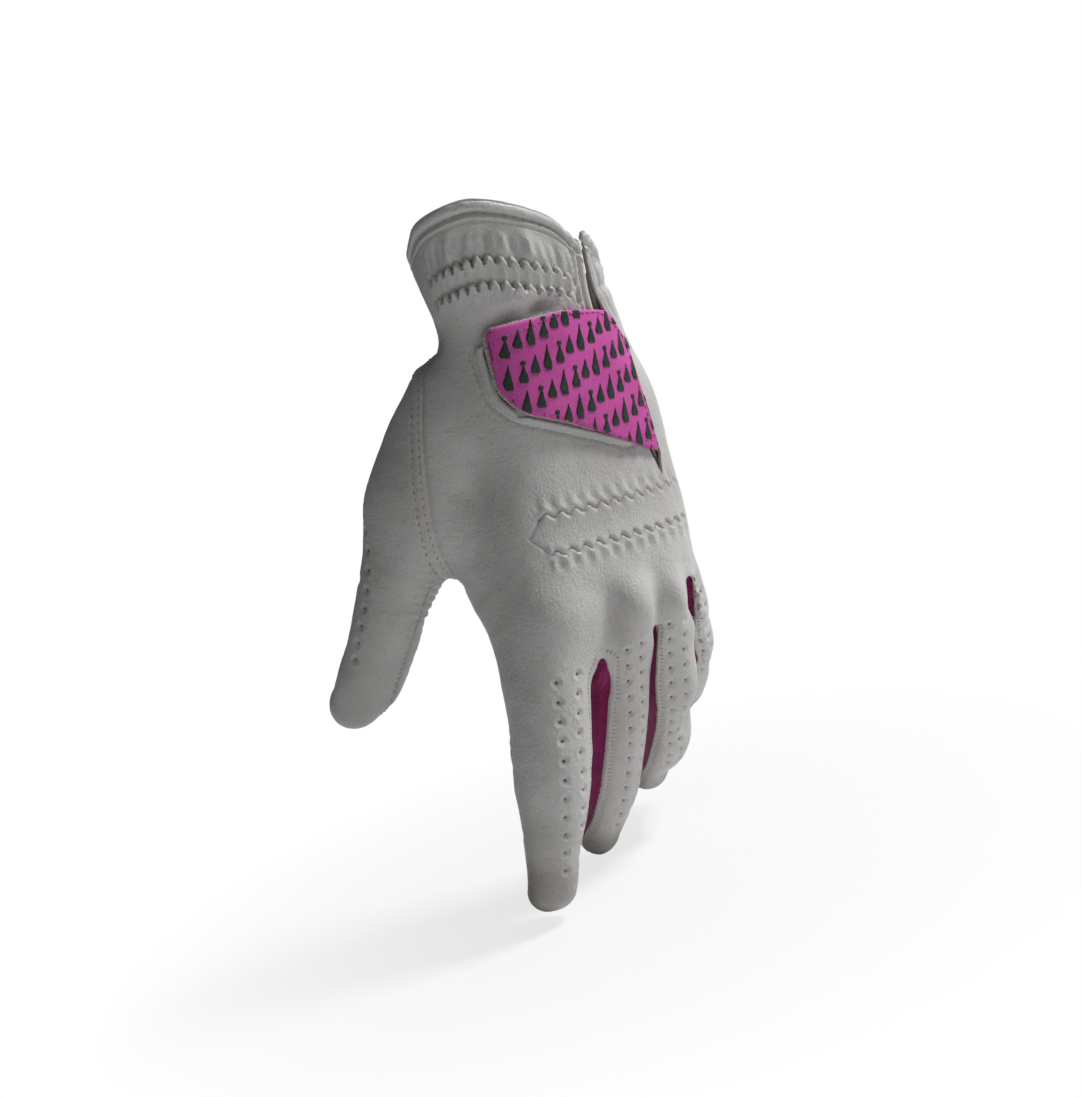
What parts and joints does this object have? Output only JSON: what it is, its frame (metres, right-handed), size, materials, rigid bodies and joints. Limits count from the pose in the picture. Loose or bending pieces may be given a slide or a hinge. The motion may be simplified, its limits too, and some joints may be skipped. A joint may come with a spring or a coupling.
{
  "type": "golf glove",
  "caption": "Left-hand golf glove shaped as worn, with hinged fingers and thumb, elastic wrist and knuckles, a slit cuff and a peel-off closure tab",
  "frame": {"origin": "middle of the glove's outer box", "axes": "+Z runs from the fingertips to the wrist opening, -Y is the back of the hand and +Y the palm, +X is the little finger's side"},
  "size_m": [0.125, 0.0832, 0.2132],
  "materials": {
    "white_leather": "fine-grained off-white glove leather, soft sheen",
    "suede_side": "flesh side of the leather, matte",
    "pink_leather": "fine-grained magenta leather",
    "pink_fabric": "stretch knit, matte magenta",
    "hook_tape": "hook tape",
    "elastic": "woven elastic",
    "thread": "twisted polyester thread",
    "pink_thread": "twisted polyester thread"
  },
  "bodies": {
    "hand": {"hand_leather": "white_leather", "thumb_base_leather": "white_leather", "cuff_binding": "white_leather", "cuff_stitching": "thread", "wrist_elastic": "elastic", "wrist_zigzag_upper": "thread", "wrist_zigzag_lower": "thread", "knuckle_elastic": "elastic", "knuckle_zigzag_upper": "thread", "knuckle_zigzag_lower": "thread", "window_backing": "pink_fabric", "loop_patch": "pink_fabric", "window_piping": "white_leather", "window_stitching": "thread", "slit_facing": "suede_side", "slit_stitching_inner": "thread", "slit_stitching_outer": "thread", "thumb_seam_stitching_inner": "thread", "thumb_seam_stitching_outer": "thread"},
    "fingers": {"knuckle_leather": "white_leather", "fourchette_index_middle": "pink_fabric", "fourchette_middle_ring": "pink_fabric", "fourchette_ring_little": "pink_fabric"},
    "index_finger": {"index_leather": "white_leather", "index_fourchette_outer_side": "pink_fabric"},
    "middle_finger": {"middle_leather": "white_leather", "middle_fourchette_thumb_side": "pink_fabric", "middle_fourchette_outer_side": "pink_fabric"},
    "ring_finger": {"ring_leather": "white_leather", "ring_fourchette_thumb_side": "pink_fabric", "ring_fourchette_outer_side": "pink_fabric"},
    "little_finger": {"little_leather": "white_leather", "little_fourchette_thumb_side": "pink_fabric"},
    "thumb": {"thumb_leather": "white_leather"},
    "thumb_tip": {"thumb_tip_leather": "white_leather"},
    "cuff_flap": {"cuff_flap_leather": "white_leather", "cuff_flap_binding": "white_leather", "cuff_flap_facing": "suede_side", "cuff_flap_stitching": "thread"},
    "tab": {"tab_leather": "pink_leather", "tab_lining": "suede_side", "tab_hook_patch": "hook_tape", "tab_stitching": "pink_thread"}
  },
  "joints": [
    {"name": "knuckle_fold", "type": "hinge", "parent": "hand", "child": "fingers", "pos_m": [0.0099, -0.01355, -0.02118], "axis": [1, 0, 0], "range_deg": [-12, 50]},
    {"name": "index_bend", "type": "hinge", "parent": "fingers", "child": "index_finger", "pos_m": [-0.02267, -0.01329, -0.05605], "axis": [0.9703, 0, -0.2419], "range_deg": [-3, 75]},
    {"name": "middle_bend", "type": "hinge", "parent": "fingers", "child": "middle_finger", "pos_m": [0.00722, -0.00372, -0.06], "axis": [0.9998, 0, -0.0175], "range_deg": [-5, 75]},
    {"name": "ring_bend", "type": "hinge", "parent": "fingers", "child": "ring_finger", "pos_m": [0.03051, -0.00379, -0.05819], "axis": [0.9816, 0, 0.1908], "range_deg": [-14, 65]},
    {"name": "little_bend", "type": "hinge", "parent": "fingers", "child": "little_finger", "pos_m": [0.04652, 0.00038, -0.04822], "axis": [0.9205, 0, 0.3907], "range_deg": [-14, 65]},
    {"name": "thumb_bend", "type": "hinge", "parent": "hand", "child": "thumb", "pos_m": [-0.03702, 0.01296, 0.00615], "axis": [0.6944, -0.4966, -0.5207], "range_deg": [-12, 10]},
    {"name": "thumb_tip_bend", "type": "hinge", "parent": "thumb", "child": "thumb_tip", "pos_m": [-0.0473, 0.0232, -0.01557], "axis": [0.7727, -0.3508, -0.529], "range_deg": [-15, 30]},
    {"name": "cuff_flap_open", "type": "hinge", "parent": "hand", "child": "cuff_flap", "pos_m": [0.0323, -0.03115, 0.01132], "axis": [0.0403, 0.242, 0.9694], "range_deg": [0, 30]},
    {"name": "tab_peel", "type": "hinge", "parent": "cuff_flap", "child": "tab", "pos_m": [0.0321, -0.03362, 0.01982], "axis": [0, 0.0668, 0.9978], "range_deg": [0, 140]}
  ]
}
